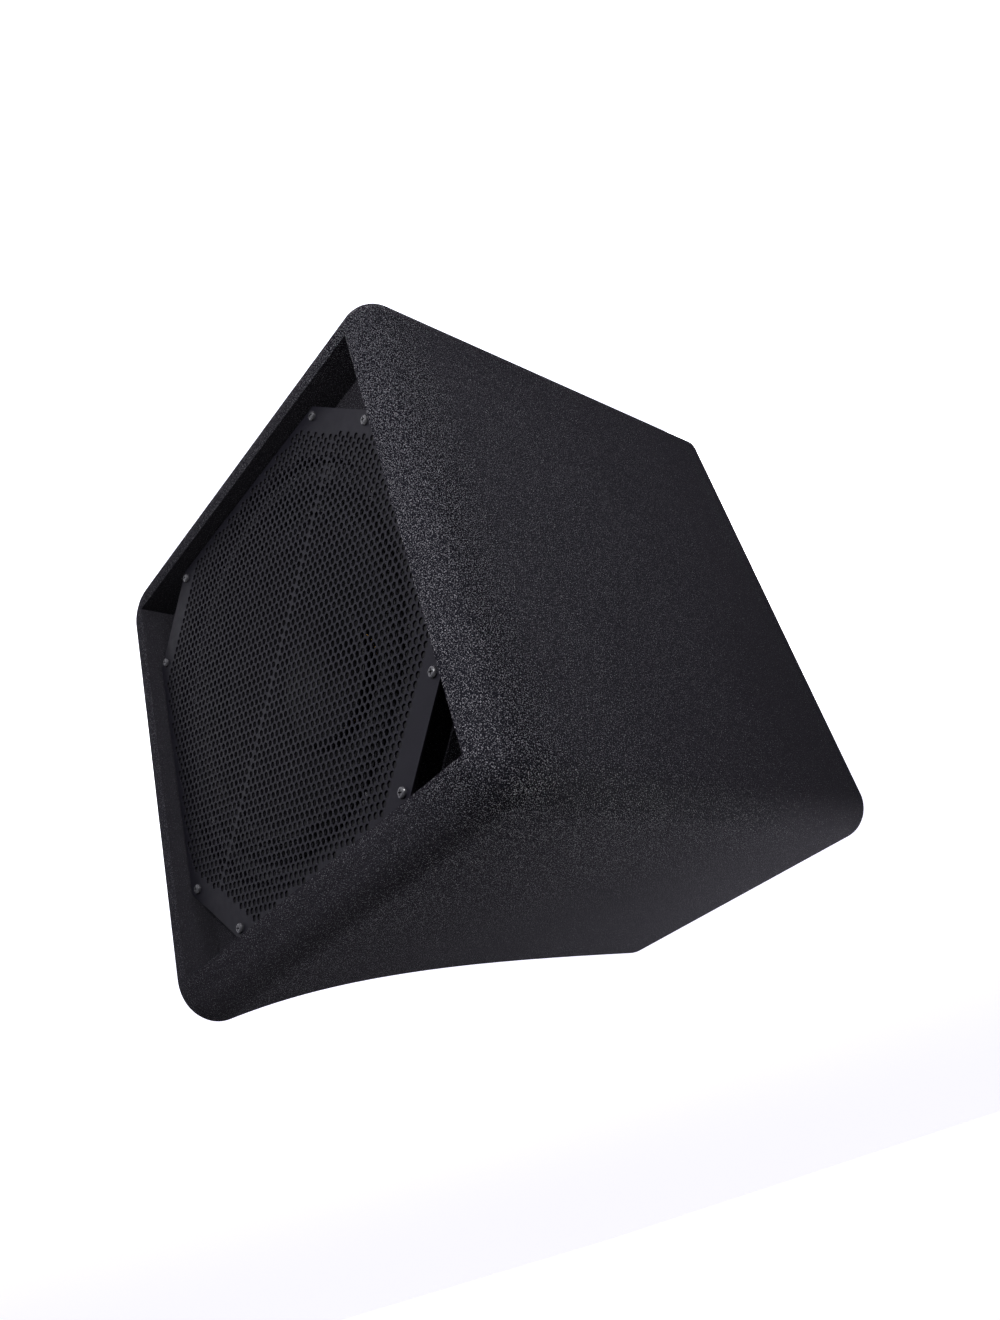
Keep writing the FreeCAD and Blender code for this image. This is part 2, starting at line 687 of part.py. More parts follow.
def fold_depth(x, z):
    """Depth of the folded sheet's face behind the crease plane at a point from the centre."""
    angle = math.radians(S["crease_angle"].value)
    away = -x * math.sin(angle) + z * math.cos(angle) + S["crease_shift"].value
    return abs(away) * S["crease_drop"].value / DROP_SPAN


def pan_screw(name, x, z, head_y, head_r, head_h, shank_r, length):
    """A pan-head screw along +Y with a cross recess in its domed head; head_y is under the head."""
    head_r, head_h = dim(head_r), dim(head_h)
    ease = head_r * 0.34
    profile = [
        (0.0, -head_h), (head_r - ease, -head_h), (head_r - 0.35 * ease, 0.35 * ease - head_h),
        (head_r, ease - head_h), (head_r, 0.0), (shank_r, 0.0), (shank_r, length - shank_r),
        (0.25 * shank_r, length), (0.0, length),
    ]
    body = turned(name + "_body", profile, x, z, head_y)
    wide, thin, deep = head_r * 1.05, head_r * 0.24, head_h * 0.75
    recess_y = dim(head_y) - head_h + deep / 2
    arms = []
    for turn in (20.0, 110.0):
        arm = "%s_arm_%d" % (name, turn)
        arms.append(turned_block(arm, wide, deep, thin, x, recess_y, z, Vector(0, 1, 0), turn))
    return cut(name, body, [fuse(name + "_cross", arms)])


SEAT_GAP = 0.02
GRILLE_SHANK_R = 2.0
GRILLE_SCREW_LONG = 13.5
screws = []
inserts = []
for number, (x, z) in enumerate(GRILLE_SCREWS):
    rise = fold_depth(x.value, z.value - MID_Z.value)
    head_y = CREASE_Y - rise
    screws.append(pan_screw("grille_screw_%d" % number, x, z, head_y - SEAT_GAP, S["screw_head_r"],
                            S["screw_head_h"], GRILLE_SHANK_R, GRILLE_SCREW_LONG))
    tube = rod("insert_tube_%d" % number, INSERT_R, 9.5, x, FRAME_Y + 0.5, z)
    bore = rod("insert_bore_%d" % number, 2.05, 12.0, x, FRAME_Y - 1, z)
    inserts.append(cut("insert_%d" % number, tube, [bore]))
node(group("grille_screws", screws), "grille_screws")
node(group("grille_inserts", inserts), "grille_inserts")

# ---------------------------------------------------------------- coaxial driver
# Distances along Y are counted from the baffle face.

basket_profile = [
    (133.0, -9.0), (155.0, -9.0), (155.0, 0.0), (139.5, 0.0), (136.5, 12.0), (100.0, 68.0), (79.0, 72.0),
    (79.0, 82.0), (50.0, 82.0), (50.0, 76.0), (72.0, 68.5), (88.0, 67.5), (88.4, 62.2), (92.5, 62.2),
    (131.0, 6.0), (133.0, 0.0),
]
basket_body = turned("basket_body", basket_profile, base=BAFFLE_Y)
basket_tools = []
for number in range(6):
    angle = 60.0 * number
    x, z = on_circle(116.0, angle)
    basket_tools.append(
        turned_block("basket_window_%d" % number, 62.0, 38.0, 66.0,
                     x, BAFFLE_Y + 37.0, z, Vector(0, 1, 0), -angle))
for number, angle in enumerate(BOLT_ANGLES):
    x, z = on_circle(S["bolt_circle_r"], angle)
    basket_tools.append(rod("flange_hole_%d" % number, 2.8, 14.0, x, BAFFLE_Y - 11, z))
node(cut("basket", basket_body, basket_tools), "basket")


CONE_NECK = 46.0
CONE_EDGE = 121.0
cone_profile = [
    (S["coil_r"] + 0.05, CONE_NECK), (S["coil_r"] + 0.05, CONE_NECK - 2.2), (70.0, 21.0), (100.0, 2.6),
    (CONE_EDGE, -8.9), (CONE_EDGE, -7.5), (100.0, 4.2), (70.0, 22.8),
]
node(turned("cone", cone_profile, base=BAFFLE_Y), "cone")


def corrugated(r_in, r_out, level, folds, swing, thick, land):
    """A profile that waves between two radii, with a flat land at each end."""
    top = [(r_in, level), (r_in + land, level)]
    step = (r_out - r_in - 2 * land) / (2 * folds)
    for i in range(2 * folds - 1):
        sign = -1 if i % 2 == 0 else 1
        top.append((r_in + land + step * (i + 1), level + sign * swing))
    top += [(r_out - land, level), (r_out, level)]
    return [(r, y) for r, y in top] + [(r, y + thick) for r, y in reversed(top)]


surround_profile = corrugated(118.0, 141.0, -9.8, 3, 1.9, 0.8, 5.0)
node(turned("surround", surround_profile, base=BAFFLE_Y), "surround")
spider_profile = corrugated(S["coil_r"].value + 0.05, 91.5, 61.2, 6, 2.0, 0.8, 3.0)
node(turned("spider", spider_profile, base=BAFFLE_Y), "spider")


def ring(name, r_in, r_out, y0, y1):
    """A plain ring about the driver axis between two depths behind the baffle face."""
    profile = [(r_in, y0), (r_out, y0), (r_out, y1), (r_in, y1)]
    return node(turned(name, profile, base=BAFFLE_Y), name)


ring("driver_gasket", 136.4, 141.5, -12.6, -9.8)
ring("coil_former", S["coil_r"] - 0.7, S["coil_r"], 44.0, 96.0)
ring("coil_winding", S["coil_r"], S["coil_r"] + 1.0, 78.0, 95.0)
ring("top_plate", 40.4, 84.0, 82.0, 92.0)
ring("magnet", 50.0, 92.0, 92.0, 112.0)
back_plate_profile = [
    (19.0, 80.0), (36.2, 80.0), (36.2, 112.0), (84.0, 112.0), (84.0, 122.0), (19.0, 122.0),
]
node(turned("back_plate", back_plate_profile, base=BAFFLE_Y), "back_plate")
horn_profile = [
    (12.7, 122.0), (13.4, 100.0), (15.6, 76.0), (21.0, 56.0), (31.0, 38.0), (46.0, 22.0), (52.0, 18.0),
    (54.0, 20.0), (48.0, 25.0), (33.4, 40.5), (24.0, 58.0), (18.8, 78.0), (18.8, 122.0),
]
node(turned("hf_horn", horn_profile, base=BAFFLE_Y), "hf_horn")
hf_body_profile = [
    (12.7, 122.0), (46.0, 122.0), (46.0, 148.0), (31.0, 148.0), (31.0, 146.0), (23.0, 146.0), (12.7, 138.0),
]
node(turned("hf_body", hf_body_profile, base=BAFFLE_Y), "hf_body")
dome_profile = [
    (0.0, 154.4), (9.0, 153.6), (17.0, 151.2), (22.0, 147.6), (29.6, 147.2), (29.6, 147.7), (22.2, 148.2),
    (17.3, 151.9), (9.2, 154.3), (0.0, 155.1),
]
node(turned("hf_diaphragm", dome_profile, base=BAFFLE_Y), "hf_diaphragm")
cover_profile = [
    (0.0, 172.0), (38.0, 172.0), (46.0, 166.0), (46.0, 148.0), (31.0, 148.0), (31.0, 151.0), (41.0, 153.0),
    (41.0, 164.5), (36.0, 168.0), (0.0, 168.0),
]
node(turned("hf_cover", cover_profile, base=BAFFLE_Y), "hf_cover")

terminal_parts = [
    block("terminal_base", -12, 12, BAFFLE_Y + 73, BAFFLE_Y + 81, MID_Z + 76, MID_Z + 88),
    block("terminal_tab_a", -8, -3, BAFFLE_Y + 76, BAFFLE_Y + 76.8, MID_Z + 87, MID_Z + 97),
    block("terminal_tab_b", 3, 8, BAFFLE_Y + 76, BAFFLE_Y + 76.8, MID_Z + 87, MID_Z + 97),
]
seat = rod("terminal_seat", 79.0, 40.0, 0, BAFFLE_Y + 60, MID_Z)
node(cut("terminal_block", fuse("terminal_solid", terminal_parts), [seat]), "terminal_block")

bolts = []
nuts = []
for number, angle in enumerate(BOLT_ANGLES):
    x, z = on_circle(S["bolt_circle_r"], angle)
    bolts.append(pan_screw("driver_bolt_%d" % number, x, z, BAFFLE_Y - 9.0, 4.6, 3.4, 2.5, 30.0))
    tube = rod("tnut_tube_%d" % number, 3.4, 12.0, x, BAFFLE_BACK - 12.0, z)
    plate = rod("tnut_plate_%d" % number, 6.4, 1.5, x, BAFFLE_BACK, z)
    bore = rod("tnut_bore_%d" % number, 2.55, 20.0, x, BAFFLE_BACK - 14.0, z)
    nuts.append(cut("tnut_%d" % number, fuse("tnut_solid_%d" % number, [tube, plate]), [bore]))
node(group("driver_bolts", bolts), "driver_bolts")
node(group("driver_tnuts", nuts), "driver_tnuts")

# ---------------------------------------------------------------- crossover on the flat side panel

BOARD_X = FLAT_IN + 8
BOARD_Y = at_depth(232.0)
board = block("board_plate", BOARD_X, BOARD_X + 1.6, BOARD_Y, BOARD_Y + 90, MID_Z - 75, MID_Z + 75)
STANDS = [(8.0, -67.0), (82.0, -67.0), (8.0, 67.0), (82.0, 67.0)]
holes = []
for i, (y, z) in enumerate(STANDS):
    holes.append(rod("board_hole_%d" % i, 1.8, 6.0, BOARD_X - 2, BOARD_Y + y, MID_Z + z, "x"))
node(cut("crossover_board", board, holes), "crossover_board")
BOARD_TOP = BOARD_X + 1.6
coils = []
for name, radius, bore, tall, y, z in (
    ("coil_low", 27.0, 11.0, 26.0, 30.0, -36.0),
    ("coil_high", 19.0, 9.0, 18.0, 68.0, 42.0),
):
    wound = rod(name + "_wound", radius, tall, BOARD_TOP, BOARD_Y + y, MID_Z + z, "x")
    centre = rod(name + "_centre", bore, tall + 2, BOARD_TOP - 1, BOARD_Y + y, MID_Z + z, "x")
    coils.append(cut(name, wound, [centre]))
node(group("crossover_coils", coils), "crossover_coils")
cans = []
for name, radius, long, y, z in (
    ("can_a", 12.0, 44.0, 2.0, 10.0), ("can_b", 12.0, 44.0, 2.0, 38.0), ("can_c", 9.0, 32.0, 49.0, 10.0)):
    cans.append(rod(name, radius, long, BOARD_TOP + radius, BOARD_Y + y, MID_Z + z, "y"))
node(group("crossover_capacitors", cans), "crossover_capacitors")
sticks = []
for name, y in (("stick_a", 66.0), ("stick_b", 78.0)):
    sticks.append(block(name, BOARD_TOP, BOARD_TOP + 9, BOARD_Y + y, BOARD_Y + y + 9, MID_Z - 50, MID_Z - 4))
node(group("crossover_resistors", sticks), "crossover_resistors")
posts = []
for i, (y, z) in enumerate(STANDS):
    post = rod("post_%d" % i, 3.5, 8.0, FLAT_IN, BOARD_Y + y, MID_Z + z, "x")
    neck = rod("post_neck_%d" % i, 1.6, 3.0, BOARD_X, BOARD_Y + y, MID_Z + z, "x")
    cap = rod("post_cap_%d" % i, 3.0, 1.8, BOARD_TOP, BOARD_Y + y, MID_Z + z, "x")
    posts.append(fuse("stand_off_%d" % i, [post, neck, cap]))
node(group("board_stand_offs", posts), "board_stand_offs")

# ---------------------------------------------------------------- connector dish, sockets, mode switch


def recessed_tray(name, half, z, deep, wall):
    """A flanged tray let into the back panel, open to the back."""
    w, h = half
    x = S["dish_x"]
    flange = block(name + "_flange", x - w - FLANGE, x + w + FLANGE, TRAY_BACK - FLANGE_T, TRAY_BACK,
                   z - h - FLANGE, z + h + FLANGE)
    tub = block(name + "_tub", x - w - wall, x + w + wall, TRAY_BACK - deep - wall, TRAY_BACK,
                z - h - wall, z + h + wall)
    room = block(name + "_room", x - w, x + w, TRAY_BACK - deep, BACK + 1, z - h, z + h)
    return fuse(name + "_shell", [flange, tub]), room


DISH_DEEP = 24.0
shell, room = recessed_tray("dish", DISH_HALF, DISH_Z, DISH_DEEP, 2.0)
FLOOR_OUT = TRAY_BACK - DISH_DEEP
FLOOR_IN = FLOOR_OUT - 2.0
SOCKETS = [(S["dish_x"] - 33, DISH_Z - 12), (S["dish_x"] + 33, DISH_Z - 12)]
SWITCH_X = S["dish_x"]
SWITCH_Z = DISH_Z + 22
tools = [room]
for number, (x, z) in enumerate(SOCKETS):
    tools.append(rod("socket_hole_%d" % number, 12.2, 6.0, x, FLOOR_IN - 2, z))
    for sx in (-1, 1):
        pilot = "socket_pilot_%d_%d" % (number, sx)
        tools.append(rod(pilot, 1.45, 6.0, x + sx * 9.5, FLOOR_IN - 2, z + sx * 12.0))
tools.append(block("switch_hole", SWITCH_X - 10.5, SWITCH_X + 10.5, FLOOR_IN - 1, FLOOR_OUT + 1,
                   SWITCH_Z - 7.0, SWITCH_Z + 7.0))
for number, (x, z) in enumerate(FLANGE_SCREWS[:6]):
    tools.append(rod("dish_screw_hole_%d" % number, 1.9, 8.0, x, TRAY_BACK - 5, z))
node(cut("input_dish", shell, tools), "input_dish")



def cross_slots(name, wide, deep, thin, x, y, z, turn):
    """Two crossed slots let into a screw head whose top is at y."""
    slots = []
    for extra in (0.0, 90.0):
        tag = "%s_%d" % (name, extra)
        slots.append(turned_block(tag, wide, deep, thin, x, y, z, Vector(0, 1, 0), turn + extra))
    return slots


SOCKET_FACE_T = 2.5
sockets = []
socket_screws = []
for number, (x, z) in enumerate(SOCKETS):
    face_y = FLOOR_OUT + SOCKET_FACE_T
    face = block("socket_face_%d" % number, x - 13, x + 13, FLOOR_OUT, face_y, z - 15.5, z + 15.5)
    barrel = rod("socket_barrel_%d" % number, 12.0, 27.0, x, FLOOR_OUT - 25.0, z)
    hollow = rod("socket_hollow_%d" % number, 11.0, 24.0, x, FLOOR_OUT - 20.0, z)
    post = rod("socket_post_%d" % number, 4.6, 20.0, x, FLOOR_OUT - 21.0, z)
    shell = cut("socket_shell_%d" % number, fuse("socket_solid_%d" % number, [face, barrel]), [hollow])
    whole = fuse("socket_whole_%d" % number, [shell, post])
    holes = []
    for sx in (-1, 1):
        tag = "%d_%d" % (number, sx)
        screw_x, screw_z = x + sx * 9.5, z + sx * 12.0
        holes.append(rod("socket_screw_hole_" + tag, 1.6, 6.0, screw_x, FLOOR_OUT - 1, screw_z))
        shank = rod("socket_shank_" + tag, 1.4, 8.5, screw_x, face_y - 8.0, screw_z)
        head = taper("socket_head_" + tag, 2.7, 1.9, 1.5, screw_x, face_y, screw_z)
        screw = fuse("socket_screw_solid_" + tag, [shank, head])
        slots = cross_slots("socket_slot_" + tag, 2.6, 1.2, 0.6, screw_x, face_y + 1.5, screw_z, 30.0)
        socket_screws.append(cut("socket_screw_" + tag, screw, slots))
    sockets.append(cut("socket_%d" % number, whole, holes))
node(group("input_sockets", sockets), "input_sockets")
node(group("socket_screws", socket_screws), "socket_screws")

bezel = block("bezel", SWITCH_X - 12.5, SWITCH_X + 12.5, FLOOR_OUT, FLOOR_OUT + 2.0,
              SWITCH_Z - 9.0, SWITCH_Z + 9.0)
housing = block("housing", SWITCH_X - 10.3, SWITCH_X + 10.3, FLOOR_IN - 16.0, FLOOR_OUT + 1.0,
                SWITCH_Z - 6.8, SWITCH_Z + 6.8)
switch_room = block("switch_room", SWITCH_X - 8.8, SWITCH_X + 8.8, FLOOR_OUT - 7.0, FLOOR_OUT + 3.0,
                    SWITCH_Z - 5.9, SWITCH_Z + 5.9)
PIVOT_Y = FLOOR_OUT - 1.2
PIVOT_R = 1.0
PIVOT_PLAY = 0.35
pivot_hole = rod("pivot_hole", PIVOT_R + PIVOT_PLAY, 22.0, SWITCH_X - 11.0, PIVOT_Y, SWITCH_Z, "x")
node(cut("switch_frame", fuse("switch_solid", [bezel, housing]), [switch_room, pivot_hole]), "switch_frame")

# The rocker turns on a pin along X; its two finger faces meet in a shallow valley. It rests tipped to -Z.
ROCK = 10.0
rocker_points = [(-4.9, -2.4), (4.9, -2.4), (4.9, 4.4), (0.0, 3.2), (-4.9, 4.4)]
c, s = math.cos(math.radians(ROCK)), math.sin(math.radians(ROCK))
tipped = []
for a, b in rocker_points:
    tipped.append((a * c - b * s, a * s + b * c))
rocker_sketch = outline("rocker_outline", tipped)
rocker_turn = Rotation(Vector(0, 0, 1), Vector(0, 1, 0), Vector(1, 0, 0), "ZYX")
rocker_sketch.Placement = Placement(Vector(0, 0, 0), rocker_turn)
rocker = doc.addObject("Part::Extrusion", "rocker")
rocker.Base = rocker_sketch
rocker.DirMode = "Custom"
rocker.Dir = Vector(1, 0, 0)
rocker.Solid = True
rocker.LengthFwd = 16.8
place(rocker, SWITCH_X - 8.4, PIVOT_Y, SWITCH_Z)
pivot_pin = rod("pivot_pin", PIVOT_R, 19.6, SWITCH_X - 9.8, PIVOT_Y, SWITCH_Z, "x")
node(fuse("rocker_with_pin", [rocker, pivot_pin]), "switch_rocker")

# ---------------------------------------------------------------- handle, screws, feet, lining, leads

HANDLE_DEEP = 62.0
shell, room = recessed_tray("handle", HANDLE_HALF, HANDLE_Z, HANDLE_DEEP, 3.0)
grip_y = BACK - 24.0
tools = [room]
for number, (x, z) in enumerate(FLANGE_SCREWS[6:]):
    tools.append(rod("cup_screw_hole_%d" % number, 1.9, 8.0, x, TRAY_BACK - 5, z))
for sx in (-1, 1):
    tools.append(rod("grip_socket_%d" % sx, 6.05, 8.0, S["dish_x"] + sx * 61.5 - 4, grip_y, HANDLE_Z, "x"))
node(cut("handle_cup", shell, tools), "handle_cup")
grip_core = rod("grip_core", 6.0, 126.0, S["dish_x"] - 63, grip_y, HANDLE_Z, "x")
grip_sleeve = rod("grip_sleeve", 11.0, 108.0, S["dish_x"] - 54, grip_y, HANDLE_Z, "x")
node(fuse("handle_grip", [grip_core, grip_sleeve]), "handle_grip")


flange_screws = []
for number, (x, z) in enumerate(FLANGE_SCREWS):
    shank = rod("flange_shank_%d" % number, 1.55, 14.0, x, TRAY_BACK - 14.0, z)
    head = taper("flange_head_%d" % number, 3.2, 2.3, 1.6, x, TRAY_BACK, z)
    slots = cross_slots("flange_slot_%d" % number, 3.2, 1.2, 0.7, x, BACK, z, 30.0)
    body = fuse("flange_solid_%d" % number, [shank, head])
    flange_screws.append(cut("flange_screw_%d" % number, body, slots))
node(group("tray_screws", flange_screws), "tray_screws")

BACK_SCREW_PROFILE = [
    (0.0, 0.0), (4.4, 0.0), (2.1, -2.3), (1.65, -2.4), (1.65, -27.0), (0.3, -30.0), (0.0, -30.0),
]
long_screws = []
for number, (x, z) in enumerate(BACK_SCREWS):
    body = turned("back_screw_body_%d" % number, BACK_SCREW_PROFILE, x, z, BACK)
    slots = cross_slots("back_slot_%d" % number, 4.4, 2.4, 0.9, x, BACK, z, 15.0)
    long_screws.append(cut("back_screw_%d" % number, body, slots))
node(group("back_screws", long_screws), "back_screws")

feet = []
foot_screws = []
for number, (x, y) in enumerate(FEET):
    tag = "%d" % number
    pad = taper("foot_pad_" + tag, 15.0, 18.0, S["foot_height"], x, y, 0, "z")
    bore = rod("foot_bore_" + tag, 2.4, 20.0, x, y, -1, "z")
    well = rod("foot_well_" + tag, 6.0, 7.0, x, y, -1, "z")
    feet.append(cut("foot_" + tag, pad, [bore, well]))
    head = rod("foot_screw_head_" + tag, 4.2, 2.5, x, y, 3.5, "z")
    shank = rod("foot_screw_shank_" + tag, 1.95, 18.0, x, y, 5.0, "z")
    foot_screws.append(fuse("foot_screw_" + tag, [head, shank]))
node(group("rubber_feet", feet), "rubber_feet")
node(group("foot_screws", foot_screws), "foot_screws")

LINING_T = 25.0
LINING_RIGHT = 74.0
LINING_Y0 = at_depth(140.0)
LINING_Y1 = at_depth(325.0)
pads = [
    block("lining_upper", FLAT_IN + LINING_T, LINING_RIGHT, LINING_Y0, LINING_Y1,
          MID_Z + INNER_Z - LINING_T, MID_Z + INNER_Z),
    block("lining_lower", FLAT_IN + LINING_T, LINING_RIGHT, LINING_Y0, LINING_Y1,
          MID_Z - INNER_Z, MID_Z - INNER_Z + LINING_T),
]
node(group("acoustic_lining", pads), "acoustic_lining")


def lead(name, points, radius):
    """A round cable along a smooth path; a swept path has no primitive of its own."""
    spots = []
    for point in points:
        x, y, z = [dim(v).value for v in point]
        spots.append(Vector(x, y, z))
    curve = Part.BSplineCurve()
    curve.interpolate(spots)
    path = Part.Wire([curve.toShape()])
    start = curve.tangent(curve.FirstParameter)[0]
    ring = Part.Wire([Part.makeCircle(radius, spots[0], start)])
    feature = doc.addObject("Part::Feature", name)
    feature.Shape = path.makePipeShell([ring], True, False)
    return feature


leads = [
    lead("lead_input", [
        (SOCKETS[0][0], FLOOR_OUT - 25.5, SOCKETS[0][1]),
        (SOCKETS[0][0] - 12, FLOOR_OUT - 45, SOCKETS[0][1] + 8),
        (Dim(-122.0), BOARD_Y + 76, MID_Z - 80),
        (BOARD_TOP + 7, BOARD_Y + 84, MID_Z - 69),
        (BOARD_TOP + 3.5, BOARD_Y + 84, MID_Z - 57.0)], 2.6),
    lead("lead_driver", [
        (BOARD_TOP + 12, BOARD_Y + 30, MID_Z + 62),
        (Dim(-120.0), BOARD_Y - 10, MID_Z + 95),
        (Dim(-60.0), at_depth(160.0), MID_Z + 116),
        (Dim(-5.5), at_depth(125.0), MID_Z + 112),
        (Dim(-5.5), BAFFLE_Y + 76.4, MID_Z + 100.0)], 2.2),
]
node(group("internal_leads", leads), "internal_leads")

# ---------------------------------------------------------------- checks and export

doc.recompute()
problems = []
for obj in doc.Objects:
    state = " ".join(obj.State)
    if "Invalid" in state or "Error" in state:
        problems.append("%s: %s" % (obj.Name, state))
for name, obj in NODES:
    shape = obj.Shape
    if shape.isNull() or not shape.isValid() or not shape.Solids:
        problems.append("%s: no valid solid" % name)
if problems:
    raise RuntimeError("; ".join(problems))

os.makedirs("parts", exist_ok=True)
for name, obj in NODES:
    obj.Shape.exportStep("parts/%s.step" % name)
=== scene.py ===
import math

import bpy
import bmesh
from mathutils import Matrix, Vector
from mathutils.geometry import delaunay_2d_cdt


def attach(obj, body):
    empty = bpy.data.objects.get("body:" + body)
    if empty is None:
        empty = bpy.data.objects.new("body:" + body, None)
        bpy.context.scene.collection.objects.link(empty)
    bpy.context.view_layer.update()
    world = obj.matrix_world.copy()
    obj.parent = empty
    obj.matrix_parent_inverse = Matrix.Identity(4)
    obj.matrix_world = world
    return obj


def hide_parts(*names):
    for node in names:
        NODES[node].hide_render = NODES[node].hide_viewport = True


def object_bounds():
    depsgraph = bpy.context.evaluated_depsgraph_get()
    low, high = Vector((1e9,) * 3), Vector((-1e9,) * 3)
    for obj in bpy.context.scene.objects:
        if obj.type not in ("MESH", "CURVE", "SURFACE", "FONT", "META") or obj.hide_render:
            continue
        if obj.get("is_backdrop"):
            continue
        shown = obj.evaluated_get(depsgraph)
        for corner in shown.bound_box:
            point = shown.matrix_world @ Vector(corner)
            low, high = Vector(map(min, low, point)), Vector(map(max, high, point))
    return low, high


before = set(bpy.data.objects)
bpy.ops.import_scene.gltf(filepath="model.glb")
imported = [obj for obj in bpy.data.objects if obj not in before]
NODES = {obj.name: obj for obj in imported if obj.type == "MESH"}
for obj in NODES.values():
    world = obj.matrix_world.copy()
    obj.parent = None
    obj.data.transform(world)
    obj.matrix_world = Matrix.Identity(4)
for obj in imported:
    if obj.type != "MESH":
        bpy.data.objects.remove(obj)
start_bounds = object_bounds()


def plain(bounds):
    if isinstance(bounds, dict):
        return {key: plain(value) for key, value in bounds.items()}
    if hasattr(bounds, "__len__"):
        return [plain(value) for value in bounds]
    return float(bounds)


MM = 0.001
SCENE = bpy.context.scene

# The cabinet's front rim and its middle height, in millimetres in the part's frame.
FRONT_Y = -186.75
MID_Z = 215.7


# ---------------------------------------------------------------- materials

# Socket numbers of a colour Mix node.
MIX_FACTOR, MIX_DARK, MIX_LIGHT, MIX_RESULT = 0, 6, 7, 2


class Nodes:
    """A small helper round a material's node tree."""

    def __init__(self, name):
        self.material = bpy.data.materials.new(name)
        self.material.use_nodes = True
        self.tree = self.material.node_tree
        self.shader = self.tree.nodes["Principled BSDF"]
        self.coords = self.tree.nodes.new("ShaderNodeTexCoord").outputs["Object"]

    def add(self, kind, **inputs):
        node = self.tree.nodes.new(kind)
        for key, value in inputs.items():
            socket = node.inputs[key.replace("_", " ")]
            if isinstance(value, bpy.types.NodeSocket):
                self.tree.links.new(value, socket)
            else:
                socket.default_value = value
        return node

    def noise(self, scale, detail=3.0, rough=0.5):
        """Smooth noise; the scale is in waves per metre."""
        node = self.add("ShaderNodeTexNoise", Vector=self.coords,
                        Scale=scale, Detail=detail, Roughness=rough)
        return node.outputs["Fac"]

    def cells(self, scale):
        """Distance to the middle of the nearest droplet; the scale is in droplets per metre."""
        return self.add("ShaderNodeTexVoronoi", Vector=self.coords, Scale=scale).outputs["Distance"]

    def along(self, direction):
        """How far a point lies along a direction, in metres."""
        node = self.add("ShaderNodeVectorMath", Vector=self.coords)
        node.operation = "DOT_PRODUCT"
        node.inputs[1].default_value = direction
        return node.outputs["Value"]

    def spread(self, value, low, high, to_low, to_high):
        """Map a range of values to another range, and hold it at both ends."""
        node = self.add("ShaderNodeMapRange", Value=value)
        node.inputs["From Min"].default_value = low
        node.inputs["From Max"].default_value = high
        node.inputs["To Min"].default_value = to_low
        node.inputs["To Max"].default_value = to_high
        return node.outputs["Result"]

    def math(self, operation, a, b):
        node = self.tree.nodes.new("ShaderNodeMath")
        node.operation = operation
        for socket, value in zip(node.inputs, (a, b)):
            if isinstance(value, bpy.types.NodeSocket):
                self.tree.links.new(value, socket)
            else:
                socket.default_value = value
        return node.outputs[0]

    def mix(self, factor, dark, light):
        node = self.tree.nodes.new("ShaderNodeMix")
        node.data_type = "RGBA"
        self.tree.links.new(factor, node.inputs[MIX_FACTOR])
        node.inputs[MIX_DARK].default_value = (*dark, 1.0)
        node.inputs[MIX_LIGHT].default_value = (*light, 1.0)
        return node.outputs[MIX_RESULT]

    def bump(self, height, strength, distance, under=None):
        node = self.add("ShaderNodeBump", Height=height, Strength=strength, Distance=distance)
        if under is not None:
            self.tree.links.new(under, node.inputs["Normal"])
        return node.outputs["Normal"]

    def finish(self, **inputs):
        for key, value in inputs.items():
            socket = self.shader.inputs[key.replace("_", " ")]
            if isinstance(value, bpy.types.NodeSocket):
                self.tree.links.new(value, socket)
            else:
                socket.default_value = value
        return self.material


# Sprayed coating: droplets, lumps and grit per metre, and the even level of colour and sheen it keeps where
# no glints are painted.
DROPS, LUMPS, GRIT = 1100.0, 1250.0, 2000.0
CALM = 0.06
# How far the droplets and the grit stand out, in metres.
DROP_RELIEF, GRIT_RELIEF = 0.0008, 0.0003
# Its painted glints grow along this direction, from the back of the cabinet to the rounded front edge.
PAINTED_GLINT_AXIS = (-0.55, -0.85, 0.0)
# The coat's dark colour, and the light colour of its specks and their painted glints.
COAT_DARK = (0.0017, 0.0016, 0.0024)
COAT_GRAIN_AND_GLINT = (0.100, 0.097, 0.108)


